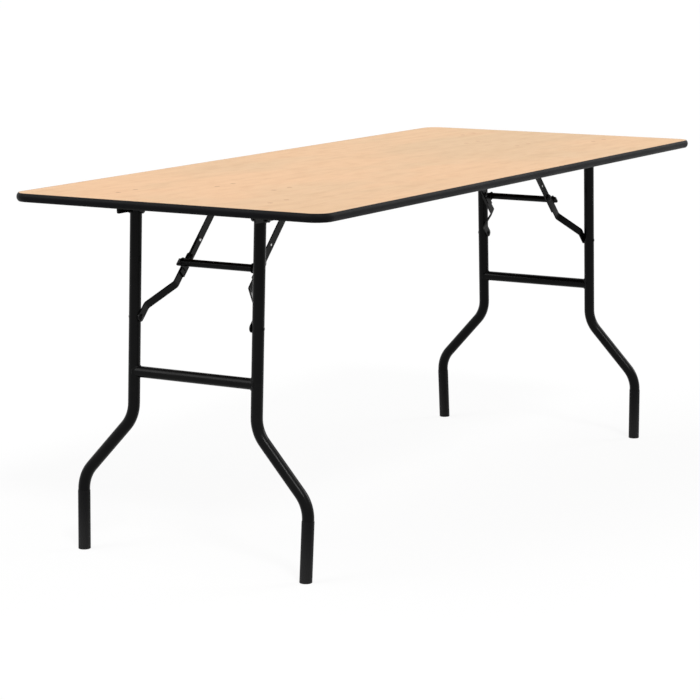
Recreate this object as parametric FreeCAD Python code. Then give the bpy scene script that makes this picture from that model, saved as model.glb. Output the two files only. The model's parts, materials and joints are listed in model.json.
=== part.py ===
import FreeCAD, Part
import math
import os

# Folding banquet table. Sizes are in millimetres. The length lies along X, the width along Y and
# the height along Z, and the origin is on the floor under the middle of the top. The far end is
# towards +X and the left side towards +Y. Every piece of a corner is made at the far left corner
# and mirrored to the others.

Vector = FreeCAD.Vector
ORIGIN = Vector(0, 0, 0)
X_AXIS = Vector(1, 0, 0)
Y_AXIS = Vector(0, 1, 0)
Z_AXIS = Vector(0, 0, 1)
ENDS = ("near", "far")
SIDES = ("left", "right")

# Clearances
FIT_CLEARANCE = 0.05
RUNNING_GAP = 0.3
CUT_OVERRUN = 2.0

# Top
TOP_LENGTH = 1828.8
TOP_WIDTH = 762.0
TABLE_HEIGHT = 768.0
TOP_CORNER_RADIUS = 40.0
BOARD_THICKNESS = 18.0
EDGE_CROWN = 5.0
EDGE_SHOULDER = 0.8
EDGE_BARB_DEPTH = 9.0
EDGE_BARB_THICKNESS = 2.0

# Leg frames
PIVOT_DROP = 17.0
PIVOT_INSET = 132.8
FOOT_OUTSET = 33.7
LEG_SPACING = 304.8
KNEE_SPREAD = 560.0
FOOT_SPREAD = 554.0
UPPER_BEND_HEIGHT = 298.0
LOWER_BEND_HEIGHT = 159.0
BEND_RADIUS = 75.0
TUBE_DIAMETER = 25.4
TUBE_WALL = 1.5
TUBE_TOP_REACH = 10.0
STRETCHER_DIAMETER = 24.0
STRETCHER_WALL = 1.2
STRETCHER_HEIGHT = 394.5
FOOT_SLEEVE_LENGTH = 127.0
FOOT_SLEEVE_WALL = 0.5
FOOT_BASE_THICKNESS = 5.0
FOOT_BASE_ROUNDING = 1.2

# Leg brackets and pivots
BRACKET_THICKNESS = 3.0
BRACKET_HEIGHT = 22.5
BRACKET_FLANGE = 36.0
BRACKET_OUTER_REACH = 45.0
BRACKET_INNER_REACH = 76.0
BRACKET_CORNER_RADIUS = 5.0
BRACKET_BEND_RADIUS = 4.0
BRACKET_SCREW_PITCH = 62.0
BOLT_DIAMETER = 8.0
BOLT_HEAD_WIDTH = 13.0
BOLT_HEAD_HEIGHT = 5.3
BOLT_STUB = 2.0
NUT_HEIGHT = 6.0
WASHER_THICKNESS = 1.2
WASHER_DIAMETER = 18.0

# Folding braces
BRACE_LEG_DROP = 224.2
BRACE_ANCHOR_INSET = 213.6
BRACE_SPACING = 178.6
FOLDED_DROOP_DEG = 4.5
STRAP_WIDTH = 19.0
STRAP_THICKNESS = 3.0
JOGGLE_LEG_END = 31.5
JOGGLE_KNUCKLE_END = 91.6
JOGGLE_BEND_RADIUS = 10.0
LOCK_RIVET_RISE = 48.2
LOCK_RIVET_DIAMETER = 5.0
LOCK_HEAD_DIAMETER = 7.6
LOCK_HEAD_HEIGHT = 1.5
LOCK_TAIL_LENGTH = 46.0
LOCK_PLATE_WIDTH = 14.0
LOCK_PLATE_THICKNESS = 1.5
LOCK_EAR_MARGIN = 2.5
BAR_DIAMETER = 16.0
BAR_LENGTH = 198.0
BAR_DROP = 27.65
BAR_TIP_LENGTH = 13.0
BAR_TIP_THICKNESS = 5.0
RIVET_DIAMETER = 8.0
RIVET_HEAD_DIAMETER = 14.0
RIVET_HEAD_HEIGHT = 3.2
RIVET_TAIL_DIAMETER = 10.0
RIVET_TAIL_HEIGHT = 1.6
ANCHOR_THICKNESS = 3.0
ANCHOR_TAB_WIDTH = 26.0
ANCHOR_FLANGE_LENGTH = 86.0
ANCHOR_FLANGE_WIDTH = 30.0
ANCHOR_SCREW_PITCH = 62.0

# Bracket screws, which go down through the board under filler plugs
SCREW_DIAMETER = 6.0
SCREW_HEAD_DIAMETER = 11.0
SCREW_HEAD_HEIGHT = 2.8
SCREW_NUT_WIDTH = 10.0
SCREW_NUT_HEIGHT = 5.0
SCREW_STUB = 1.5
PLUG_DIAMETER = 12.0
PLUG_DEPTH = 2.5

# Heights, reaches and half widths that several pieces share
UNDERSIDE = TABLE_HEIGHT - BOARD_THICKNESS
PIVOT_HEIGHT = UNDERSIDE - PIVOT_DROP
PIVOT_REACH = TOP_LENGTH / 2 - PIVOT_INSET
LEG_SIDE = LEG_SPACING / 2
TUBE_RADIUS = TUBE_DIAMETER / 2
TUBE_BORE_RADIUS = TUBE_RADIUS - TUBE_WALL
BRACKET_FACE = LEG_SIDE + TUBE_RADIUS + RUNNING_GAP + WASHER_THICKNESS
BRACKET_BACK = BRACKET_FACE + BRACKET_THICKNESS
BOLT_RADIUS = BOLT_DIAMETER / 2
RIVET_RADIUS = RIVET_DIAMETER / 2
LOCK_RIVET_RADIUS = LOCK_RIVET_DIAMETER / 2
SCREW_RADIUS = SCREW_DIAMETER / 2
SCREW_HEAD_TOP = TABLE_HEIGHT - PLUG_DEPTH
SCREW_SEAT = SCREW_HEAD_TOP - SCREW_HEAD_HEIGHT
STRAP_HALF = STRAP_WIDTH / 2
ROUND_HEAD = (RIVET_HEAD_DIAMETER, RIVET_HEAD_HEIGHT)
LOW_HEAD = (RIVET_TAIL_DIAMETER, RIVET_TAIL_HEIGHT)
SMALL_HEAD = (LOCK_HEAD_DIAMETER, LOCK_HEAD_HEIGHT)

# Layers of a brace, from the middle of the table outwards
UPPER_STRAP_FACE = BRACE_SPACING / 2 - STRAP_THICKNESS / 2
UPPER_STRAP_BACK = UPPER_STRAP_FACE + STRAP_THICKNESS
LOCK_PLATE_FACE = UPPER_STRAP_FACE - LOCK_PLATE_THICKNESS
LOWER_STRAP_FACE = UPPER_STRAP_BACK + RUNNING_GAP
LOWER_STRAP_BACK = LOWER_STRAP_FACE + STRAP_THICKNESS
LEG_STRAP_BACK = LEG_SIDE - TUBE_RADIUS - RUNNING_GAP
LEG_STRAP_FACE = LEG_STRAP_BACK - STRAP_THICKNESS
ANCHOR_BACK = UPPER_STRAP_FACE - RUNNING_GAP
ANCHOR_FACE = ANCHOR_BACK - ANCHOR_THICKNESS

# Lean of the legs, and the turn that lays them flat under the top
LEG_LEAN = math.atan2(FOOT_OUTSET, PIVOT_HEIGHT)
FOLD_TURN = math.pi / 2 + LEG_LEAN
LEG_DOWN = Vector(math.sin(LEG_LEAN), 0, -math.cos(LEG_LEAN))


def leg_point(across, drop):
    """Point in the plane of the far leg frame, at a distance down from its pivot."""
    return Vector(PIVOT_REACH, across, PIVOT_HEIGHT) + LEG_DOWN * drop


def drop_of(height):
    """Distance down the leg plane from the pivot to a height above the floor."""
    return (PIVOT_HEIGHT - height) / math.cos(LEG_LEAN)


# A brace is straight when the leg stands. When the leg lies flat its two straps lie over each
# other, with the upper one drooping a little. Those two positions give the length of each strap.
BRACE_LEG_POINT = leg_point(0, BRACE_LEG_DROP)
BRACE_ANCHOR = Vector(PIVOT_REACH - BRACE_ANCHOR_INSET, 0, PIVOT_HEIGHT)
BRACE_LINE = BRACE_LEG_POINT - BRACE_ANCHOR
BRACE_SPAN = BRACE_LINE.Length
FOLDED_OFFSET = BRACE_LEG_DROP - BRACE_ANCHOR_INSET
FOLDED_DROOP = math.radians(FOLDED_DROOP_DEG)
UPPER_LENGTH = (BRACE_SPAN**2 - FOLDED_OFFSET**2) / (
    2 * (BRACE_SPAN + FOLDED_OFFSET * math.cos(FOLDED_DROOP)))
LOWER_LENGTH = BRACE_SPAN - UPPER_LENGTH
KNUCKLE = BRACE_ANCHOR + BRACE_LINE * (UPPER_LENGTH / BRACE_SPAN)
BRACE_SLOPE = math.atan2(-BRACE_LINE.z, BRACE_LINE.x)
BAR_RISE = STRAP_HALF + RUNNING_GAP + BAR_DIAMETER / 2
BRACE_FRAME = FreeCAD.Placement(KNUCKLE, FreeCAD.Rotation(Y_AXIS, math.degrees(BRACE_SLOPE)))


def along_brace(shape):
    """Place a shape made along X, with the knuckle at the origin, on the line of the far brace."""
    return shape.transformed(BRACE_FRAME.toMatrix())


def at_corner(shape, end, side):
    """Copy of a far left piece at a named corner of the table."""
    copy = shape.copy()
    if side == "right":
        copy = copy.mirror(ORIGIN, Y_AXIS)
    if end == "near":
        copy = copy.mirror(ORIGIN, X_AXIS)
    return copy


def at_every_corner(shape):
    """Copies of a far left piece at the four corners."""
    return [at_corner(shape, end, side) for end in ENDS for side in SIDES]


def box_between(low, high):
    """Box between two opposite corners."""
    size = high - low
    return Part.makeBox(size.x, size.y, size.z, low)


def cross_rod(radius, x, z, low, high):
    """Round bar across the table, from one side distance to another."""
    return Part.makeCylinder(radius, high - low, Vector(x, low, z), Y_AXIS)


def joined(first, *others):
    """One solid from several that touch or overlap."""
    return first.fuse(list(others)).removeSplitter()


def edge_near(shape, point):
    """The edge of a shape whose middle is nearest to a point."""
    return min(shape.Edges, key=lambda edge: edge.CenterOfMass.distanceToPoint(point))


def rounded_rectangle(length, width, radius, height):
    """Closed outline with round corners, from the middle of its front side."""
    half_x = length / 2
    half_y = width / 2
    straight_x = half_x - radius
    straight_y = half_y - radius
    slack = radius * (1 - math.sqrt(0.5))
    corners = ((1, -1), (1, 1), (-1, 1), (-1, -1))
    edges = []
    last = Vector(0, -half_y, height)
    for index, (sign_x, sign_y) in enumerate(corners):
        flat_end = Vector(sign_x * straight_x, sign_y * half_y, height)
        middle = Vector(sign_x * (half_x - slack), sign_y * (half_y - slack), height)
        side_end = Vector(sign_x * half_x, sign_y * straight_y, height)
        start, finish = (flat_end, side_end) if index % 2 == 0 else (side_end, flat_end)
        edges.append(Part.LineSegment(last, start).toShape())
        edges.append(Part.Arc(start, middle, finish).toShape())
        last = finish
    edges.append(Part.LineSegment(last, Vector(0, -half_y, height)).toShape())
    return Part.Wire(edges)


def slab(outline, thickness):
    """Plate that rises from a level outline."""
    return Part.Face(outline).extrude(Z_AXIS * thickness)


def bent_path(points, radius):
    """Line through points, with a tangent arc at each corner."""
    edges = []
    last = points[0]
    for before, corner, after in zip(points, points[1:], points[2:]):
        coming = (corner - before).normalize()
        going = (after - corner).normalize()
        half_turn = coming.getAngle(going) / 2
        setback = radius * math.tan(half_turn)
        inward = (going - coming).normalize()
        start = corner - coming * setback
        middle = corner + inward * (radius / math.cos(half_turn) - radius)
        finish = corner + going * setback
        edges.append(Part.LineSegment(last, start).toShape())
        edges.append(Part.Arc(start, middle, finish).toShape())
        last = finish
    edges.append(Part.LineSegment(last, points[-1]).toShape())
    return Part.Wire(edges)


def bent_rod(points, bend_radius, radius):
    """Round bar along a bent path."""
    start = points[0]
    section = Part.Wire([Part.makeCircle(radius, start, points[1] - start)])
    return bent_path(points, bend_radius).makePipeShell([section], True, False)


def stadium(start, end, half_width, low, high):
    """Flat strap along X with round ends centred on two places, between two side distances."""
    ends = ((start, -half_width), (end, half_width))
    edges = []
    for (here, reach), (there, _) in zip(ends, reversed(ends)):
        first = Vector(there, low, reach)
        last = Vector(here, low, reach)
        tip = Vector(here + reach, low, 0)
        edges.append(Part.LineSegment(first, last).toShape())
        edges.append(Part.Arc(last, tip, last + Z_AXIS * (-2 * reach)).toShape())
    return Part.Face(Part.Wire(edges)).extrude(Y_AXIS * (high - low))


def dome(diameter, height, base, direction):
    """Round head, flat on its base, that rises along a direction."""
    radius = diameter / 2
    ball_radius = (radius**2 + height**2) / (2 * height)
    lift = Vector(0, 0, height - ball_radius)
    ball = Part.makeSphere(ball_radius, lift)
    above = Part.makeCylinder(ball_radius, height)
    head = ball.common(above)
    turn = FreeCAD.Rotation(Z_AXIS, direction)
    return head.transformed(FreeCAD.Placement(base, turn).toMatrix())


def rivet(x, z, low, high, low_head, high_head, radius=RIVET_RADIUS):
    """Rivet across the table, with the size of a round head or none for each end."""
    solid = cross_rod(radius, x, z, low, high)
    if low_head:
        solid = joined(solid, dome(*low_head, Vector(x, low, z), -Y_AXIS))
    if high_head:
        solid = joined(solid, dome(*high_head, Vector(x, high, z), Y_AXIS))
    return solid


def rivet_hole(x, z, low, high, radius=RIVET_RADIUS):
    """Cut for a rivet through everything between two side distances."""
    return cross_rod(radius + FIT_CLEARANCE, x, z, low - CUT_OVERRUN, high + CUT_OVERRUN)


def hexagon(width, height, base, direction):
    """Six sided head or nut that rises from its base along a direction."""
    radius = width / math.sqrt(3)
    turns = [math.radians(60 * step) for step in range(7)]
    corners = [Vector(radius * math.cos(turn), radius * math.sin(turn), 0) for turn in turns]
    prism = Part.Face(Part.makePolygon(corners)).extrude(Z_AXIS * height)
    turn = FreeCAD.Rotation(Z_AXIS, direction)
    return prism.transformed(FreeCAD.Placement(base, turn).toMatrix())


def upright_rod(radius, x, y, low, high):
    """Round bar between two heights."""
    return Part.makeCylinder(radius, high - low, Vector(x, y, low), Z_AXIS)


def screw(x, y, flange_plane):
    """Flat head screw down through the board and a bracket flange, with room for its nut."""
    tip = flange_plane - SCREW_NUT_HEIGHT - SCREW_STUB
    head = upright_rod(SCREW_HEAD_DIAMETER / 2, x, y, SCREW_SEAT, SCREW_HEAD_TOP)
    return joined(head, upright_rod(SCREW_RADIUS, x, y, tip, SCREW_SEAT))


def screw_hole(x, y, flange_plane):
    """Cut for the shank of a screw through its bracket and the board."""
    low = flange_plane - SCREW_NUT_HEIGHT - CUT_OVERRUN
    return upright_rod(SCREW_RADIUS + FIT_CLEARANCE, x, y, low, TABLE_HEIGHT)


def screw_nut(x, y, flange_plane):
    """Nut under a bracket flange."""
    nut = hexagon(SCREW_NUT_WIDTH, SCREW_NUT_HEIGHT, Vector(x, y, flange_plane), -Z_AXIS)
    return nut.cut(screw_hole(x, y, flange_plane))


def screw_plug(x, y, flange_plane):
    """Filler plug over the head of a screw, flush with the top."""
    return upright_rod(PLUG_DIAMETER / 2, x, y, SCREW_HEAD_TOP, TABLE_HEIGHT)


def screw_counterbore(x, y, flange_plane):
    """Cut in the board for the head of a screw and its plug."""
    radius = PLUG_DIAMETER / 2 + FIT_CLEARANCE
    return upright_rod(radius, x, y, SCREW_SEAT, TABLE_HEIGHT + CUT_OVERRUN)


def leg_bracket_screw_places():
    """Places of the screws of the far left leg bracket."""
    middle = PIVOT_REACH + (BRACKET_OUTER_REACH - BRACKET_INNER_REACH) / 2
    side = (BRACKET_BACK + BRACKET_FACE + BRACKET_FLANGE) / 2
    plane = UNDERSIDE - BRACKET_THICKNESS
    return [(middle + step * BRACKET_SCREW_PITCH / 2, side, plane) for step in (-1, 1)]


def anchor_screw_places():
    """Places of the screws of the far left brace bracket."""
    side = ANCHOR_BACK - (ANCHOR_THICKNESS + ANCHOR_FLANGE_WIDTH) / 2
    plane = UNDERSIDE - ANCHOR_THICKNESS
    return [(BRACE_ANCHOR.x + step * ANCHOR_SCREW_PITCH / 2, side, plane) for step in (-1, 1)]


def tabletop_board():
    """Plywood board with a groove round its edge and stepped holes for the screws."""
    length = TOP_LENGTH - 2 * EDGE_CROWN
    width = TOP_WIDTH - 2 * EDGE_CROWN
    radius = TOP_CORNER_RADIUS - EDGE_CROWN
    board = slab(rounded_rectangle(length, width, radius, UNDERSIDE), BOARD_THICKNESS)
    depth = EDGE_BARB_DEPTH + FIT_CLEARANCE
    height = EDGE_BARB_THICKNESS + 2 * FIT_CLEARANCE
    floor = UNDERSIDE + (BOARD_THICKNESS - height) / 2
    spare = CUT_OVERRUN
    outside = rounded_rectangle(length + 2 * spare, width + 2 * spare, radius + spare, floor)
    inside = rounded_rectangle(length - 2 * depth, width - 2 * depth, radius - depth, floor)
    groove = slab(outside, height).cut(slab(inside, height))
    holes = []
    for place in leg_bracket_screw_places() + anchor_screw_places():
        hole = joined(screw_hole(*place), screw_counterbore(*place))
        holes.extend(at_every_corner(hole))
    return board.cut([groove] + holes)


def edge_moulding():
    """Crowned edge strip with a barb that sits in the groove of the board."""
    length = TOP_LENGTH - 2 * EDGE_CROWN
    width = TOP_WIDTH - 2 * EDGE_CROWN
    radius = TOP_CORNER_RADIUS - EDGE_CROWN
    middle = UNDERSIDE + BOARD_THICKNESS / 2
    path = rounded_rectangle(length, width, radius, middle)
    half = BOARD_THICKNESS / 2
    barb = EDGE_BARB_THICKNESS / 2

    def place(proud, rise):
        return Vector(0, -width / 2 - proud, middle + rise)

    outline = [
        place(EDGE_SHOULDER, -half),
        place(0, -half),
        place(0, -barb),
        place(-EDGE_BARB_DEPTH, -barb),
        place(-EDGE_BARB_DEPTH, barb),
        place(0, barb),
        place(0, half),
        place(EDGE_SHOULDER, half),
    ]
    edges = [Part.LineSegment(a, b).toShape() for a, b in zip(outline, outline[1:])]
    edges.append(Part.Arc(outline[-1], place(EDGE_CROWN, 0), outline[0]).toShape())
    return path.makePipeShell([Part.Wire(edges)], True, False)


def leg_route(extra):
    """Corners of the axis of the far left leg, lengthened at both ends."""
    upper_drop = drop_of(UPPER_BEND_HEIGHT)
    knee = leg_point(KNEE_SPREAD / 2, drop_of(LOWER_BEND_HEIGHT))
    foot = leg_point(FOOT_SPREAD / 2, drop_of(0))
    return [
        leg_point(LEG_SIDE, -TUBE_TOP_REACH - extra),
        leg_point(LEG_SIDE, upper_drop),
        knee,
        foot + (foot - knee).normalize() * (CUT_OVERRUN + extra),
    ]


def below(height):
    """Block that takes away everything of a leg below a height."""
    depth = FOOT_BASE_THICKNESS + TUBE_DIAMETER
    low = Vector(0, 0, height - depth)
    return box_between(low, Vector(TOP_LENGTH, TOP_WIDTH, height))


def leg():
    """Bent leg tube with its pivot hole and the hole for the brace rivet."""
    outer = bent_rod(leg_route(0), BEND_RADIUS, TUBE_RADIUS)
    bore = bent_rod(leg_route(CUT_OVERRUN), BEND_RADIUS, TUBE_BORE_RADIUS)
    inner_side = LEG_SIDE - TUBE_DIAMETER
    outer_side = LEG_SIDE + TUBE_DIAMETER
    pivot_hole = cross_rod(BOLT_RADIUS + FIT_CLEARANCE, PIVOT_REACH, PIVOT_HEIGHT, inner_side, outer_side)
    brace_hole = rivet_hole(BRACE_LEG_POINT.x, BRACE_LEG_POINT.z, inner_side, outer_side)
    return outer.cut([bore, pivot_hole, brace_hole, below(FOOT_BASE_THICKNESS)])


def foot():
    """Sleeve over the end of the tube, closed by a level base that the tube stands on."""
    knee, tip = leg_route(0)[2:]
    up = (knee - tip).normalize()
    bore_radius = TUBE_RADIUS + FIT_CLEARANCE
    sleeve = Part.makeCylinder(bore_radius + FOOT_SLEEVE_WALL, CUT_OVERRUN + FOOT_SLEEVE_LENGTH, tip, up)
    sleeve = sleeve.cut(below(0))
    base_edge = min(sleeve.Edges, key=lambda edge: edge.CenterOfMass.z)
    sleeve = sleeve.makeFillet(FOOT_BASE_ROUNDING, [base_edge])
    bore = bent_rod(leg_route(0), BEND_RADIUS, bore_radius)
    return sleeve.cut(bore.cut(below(FOOT_BASE_THICKNESS)))


def stretcher():
    """Tube between the two legs of the far frame, shaped to fit against them."""
    centre = leg_point(0, drop_of(STRETCHER_HEIGHT))
    radius = STRETCHER_DIAMETER / 2
    outer = cross_rod(radius, centre.x, centre.z, -LEG_SIDE, LEG_SIDE)
    low = -LEG_SIDE - CUT_OVERRUN
    high = LEG_SIDE + CUT_OVERRUN
    bore = cross_rod(radius - STRETCHER_WALL, centre.x, centre.z, low, high)
    reach = 2 * STRETCHER_DIAMETER
    cuts = [bore]
    for side in (-LEG_SIDE, LEG_SIDE):
        start = leg_point(side, drop_of(STRETCHER_HEIGHT) - reach)
        cuts.append(Part.makeCylinder(TUBE_RADIUS + FIT_CLEARANCE, 2 * reach, start, LEG_DOWN))
    return outer.cut(cuts)


def leg_bracket():
    """Angle bracket outside the leg, with its flange against the board."""
    low_x = PIVOT_REACH - BRACKET_INNER_REACH
    high_x = PIVOT_REACH + BRACKET_OUTER_REACH
    middle_x = (low_x + high_x) / 2
    foot_z = UNDERSIDE - BRACKET_HEIGHT
    flange_z = UNDERSIDE - BRACKET_THICKNESS
    wall = box_between(Vector(low_x, BRACKET_FACE, foot_z), Vector(high_x, BRACKET_BACK, UNDERSIDE))
    flange = box_between(
        Vector(low_x, BRACKET_FACE, flange_z),
        Vector(high_x, BRACKET_FACE + BRACKET_FLANGE, UNDERSIDE))
    angle = joined(wall, flange)
    bend = edge_near(angle, Vector(middle_x, BRACKET_FACE, UNDERSIDE))
    angle = angle.makeFillet(BRACKET_BEND_RADIUS, [bend])
    middle_y = (BRACKET_FACE + BRACKET_BACK) / 2
    corners = [edge_near(angle, Vector(x, middle_y, foot_z)) for x in (low_x, high_x)]
    angle = angle.makeFillet(BRACKET_CORNER_RADIUS, corners)
    holes = [screw_hole(*place) for place in leg_bracket_screw_places()]
    radius = BOLT_RADIUS + FIT_CLEARANCE
    holes.append(cross_rod(radius, PIVOT_REACH, PIVOT_HEIGHT, LEG_SIDE, BRACKET_BACK + CUT_OVERRUN))
    return angle.cut(holes)


def pivot_nut_face():
    """Side distance of the face of a pivot nut that is turned to the leg."""
    return LEG_SIDE - TUBE_RADIUS - RUNNING_GAP


def pivot_bolt():
    """Bolt through the bracket, the washer and the top of the leg."""
    tip = pivot_nut_face() - NUT_HEIGHT - BOLT_STUB
    shank = cross_rod(BOLT_RADIUS, PIVOT_REACH, PIVOT_HEIGHT, tip, BRACKET_BACK)
    base = Vector(PIVOT_REACH, BRACKET_BACK, PIVOT_HEIGHT)
    head = hexagon(BOLT_HEAD_WIDTH, BOLT_HEAD_HEIGHT, base, Y_AXIS)
    return joined(shank, head)


def pivot_nut():
    """Nut on the inner end of a pivot bolt."""
    low = pivot_nut_face() - NUT_HEIGHT
    nut = hexagon(BOLT_HEAD_WIDTH, NUT_HEIGHT, Vector(PIVOT_REACH, low, PIVOT_HEIGHT), Y_AXIS)
    radius = BOLT_RADIUS + FIT_CLEARANCE
    return nut.cut(cross_rod(radius, PIVOT_REACH, PIVOT_HEIGHT, low - CUT_OVERRUN, LEG_SIDE))


def pivot_washer():
    """Washer between the bracket and the leg."""
    low = BRACKET_FACE - WASHER_THICKNESS
    disc = cross_rod(WASHER_DIAMETER / 2, PIVOT_REACH, PIVOT_HEIGHT, low, BRACKET_FACE)
    radius = BOLT_RADIUS + FIT_CLEARANCE
    return disc.cut(cross_rod(radius, PIVOT_REACH, PIVOT_HEIGHT, low - CUT_OVERRUN, BRACKET_BACK))


def brace_bracket():
    """Small angle bracket that carries the top of a brace."""
    anchor = BRACE_ANCHOR
    half = ANCHOR_TAB_WIDTH / 2
    flange_half = ANCHOR_FLANGE_LENGTH / 2
    flange_side = ANCHOR_BACK - ANCHOR_FLANGE_WIDTH
    tab = box_between(
        Vector(anchor.x - half, ANCHOR_FACE, anchor.z),
        Vector(anchor.x + half, ANCHOR_BACK, UNDERSIDE))
    round_end = cross_rod(half, anchor.x, anchor.z, ANCHOR_FACE, ANCHOR_BACK)
    flange = box_between(
        Vector(anchor.x - flange_half, flange_side, UNDERSIDE - ANCHOR_THICKNESS),
        Vector(anchor.x + flange_half, ANCHOR_BACK, UNDERSIDE))
    above = box_between(
        Vector(anchor.x - half, ANCHOR_FACE, UNDERSIDE),
        Vector(anchor.x + half, ANCHOR_BACK, UNDERSIDE + ANCHOR_TAB_WIDTH))
    bracket = joined(tab, round_end, flange)
    holes = [screw_hole(*place) for place in anchor_screw_places()]
    holes.append(rivet_hole(anchor.x, anchor.z, ANCHOR_FACE, ANCHOR_BACK))
    return bracket.cut(holes + [above])


def anchor_rivet():
    """Rivet through a brace bracket and the top of its upper strap."""
    outer_face = UPPER_STRAP_BACK + RUNNING_GAP
    return rivet(BRACE_ANCHOR.x, BRACE_ANCHOR.z, ANCHOR_FACE, outer_face, ROUND_HEAD, ROUND_HEAD)


def leg_rivet():
    """Rivet through a leg and the bottom of its lower strap."""
    inner_face = LEG_STRAP_FACE - RUNNING_GAP
    outer_face = LEG_SIDE + TUBE_RADIUS
    place = (BRACE_LEG_POINT.x, BRACE_LEG_POINT.z)
    return rivet(*place, inner_face, outer_face, ROUND_HEAD, LOW_HEAD)


def lower_strap():
    """Strap from the leg to the knuckle, joggled sideways out of the plane of the leg."""
    leg_layer = (LEG_STRAP_FACE + LEG_STRAP_BACK) / 2
    knuckle_layer = (LOWER_STRAP_FACE + LOWER_STRAP_BACK) / 2
    spare = STRAP_HALF + CUT_OVERRUN
    route = [
        Vector(LOWER_LENGTH + spare, leg_layer, 0),
        Vector(LOWER_LENGTH - JOGGLE_LEG_END, leg_layer, 0),
        Vector(LOWER_LENGTH - JOGGLE_KNUCKLE_END, knuckle_layer, 0),
        Vector(-spare, knuckle_layer, 0),
    ]
    half = Vector(0, STRAP_THICKNESS / 2, STRAP_HALF)
    flip = Vector(0, half.y, -half.z)
    start = route[0]
    section = Part.makePolygon([start + half, start + flip, start - half, start - flip, start + half])
    band = bent_path(route, JOGGLE_BEND_RADIUS).makePipeShell([section], True, False)
    low = LOWER_STRAP_FACE - CUT_OVERRUN
    high = LEG_STRAP_BACK + CUT_OVERRUN
    outline = stadium(0, LOWER_LENGTH, STRAP_HALF, low, high)
    holes = [
        rivet_hole(LOWER_LENGTH, 0, LEG_STRAP_FACE, LEG_STRAP_BACK),
        rivet_hole(0, 0, LOWER_STRAP_FACE, LOWER_STRAP_BACK),
    ]
    return along_brace(band.common(outline).cut(holes))


def bar_hole():
    """Cut for the release bar across one brace."""
    radius = BAR_DIAMETER / 2 + FIT_CLEARANCE
    return cross_rod(radius, BAR_DROP, BAR_RISE, 0, LEG_SIDE)


def upper_strap():
    """Strap from the bracket under the board to the knuckle, with a square tail past it."""
    low = UPPER_STRAP_FACE
    high = UPPER_STRAP_BACK
    strap = stadium(-UPPER_LENGTH, 0, STRAP_HALF, low, high)
    tail = box_between(Vector(0, low, -STRAP_HALF), Vector(LOCK_TAIL_LENGTH, high, STRAP_HALF))
    holes = [rivet_hole(place, 0, low, high) for place in (-UPPER_LENGTH, 0)]
    holes.append(rivet_hole(-LOCK_RIVET_RISE, 0, low, high, LOCK_RIVET_RADIUS))
    return along_brace(joined(strap, tail).cut(holes))


def lock_plate():
    """Thin plate riveted inside the upper strap, with an ear that holds the release bar."""
    low = LOCK_PLATE_FACE
    high = UPPER_STRAP_FACE
    half = LOCK_PLATE_WIDTH / 2
    ear_radius = BAR_DIAMETER / 2 + LOCK_EAR_MARGIN
    blade = stadium(-LOCK_RIVET_RISE, BAR_DROP, half, low, high)
    ear = cross_rod(ear_radius, BAR_DROP, BAR_RISE, low, high)
    neck = box_between(
        Vector(BAR_DROP - half, low, 0),
        Vector(BAR_DROP + half, high, BAR_RISE))
    holes = [
        rivet_hole(0, 0, low, high),
        rivet_hole(-LOCK_RIVET_RISE, 0, low, high, LOCK_RIVET_RADIUS),
        bar_hole(),
    ]
    return along_brace(joined(blade, ear, neck).cut(holes))


def release_bar():
    """Round bar across both braces of the far frame, with pinched ends."""
    radius = BAR_DIAMETER / 2
    reach = BAR_LENGTH / 2
    full = reach - BAR_TIP_LENGTH
    tip = BAR_TIP_THICKNESS / 2
    rod = cross_rod(radius, BAR_DROP, BAR_RISE, -reach, reach)
    profile = [(-reach, -tip), (-full, -radius), (full, -radius), (reach, -tip)]
    profile += [(-side, -rise) for side, rise in profile]
    corners = [Vector(BAR_DROP - radius, side, BAR_RISE + rise) for side, rise in profile]
    corners.append(corners[0])
    pinch = Part.Face(Part.makePolygon(corners)).extrude(X_AXIS * BAR_DIAMETER)
    return along_brace(rod.common(pinch))


def lock_rivet():
    """Rivet that fixes a lock plate to its upper strap, flush towards the lower strap."""
    ends = (LOCK_PLATE_FACE, UPPER_STRAP_BACK)
    return along_brace(rivet(-LOCK_RIVET_RISE, 0, *ends, SMALL_HEAD, None, LOCK_RIVET_RADIUS))


def upper_knuckle_rivet():
    """Half of a knuckle rivet in the lock plate and upper strap, flush towards the lower strap."""
    return along_brace(rivet(0, 0, LOCK_PLATE_FACE, UPPER_STRAP_BACK, ROUND_HEAD, None))


def lower_knuckle_rivet():
    """Half of a knuckle rivet in the lower strap, flush towards the upper strap."""
    return along_brace(rivet(0, 0, LOWER_STRAP_FACE, LOWER_STRAP_BACK, None, ROUND_HEAD))


def save(name, *solids):
    """Write one node, a single solid or a group of like solids."""
    shape = solids[0] if len(solids) == 1 else Part.makeCompound(solids)
    shape.exportStep(f"parts/{name}.step")
    state = "valid" if shape.isValid() else "NOT VALID"
    print(f"{name}: {len(shape.Solids)} solid(s), {shape.Volume:.1f} mm3, {state}")


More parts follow.
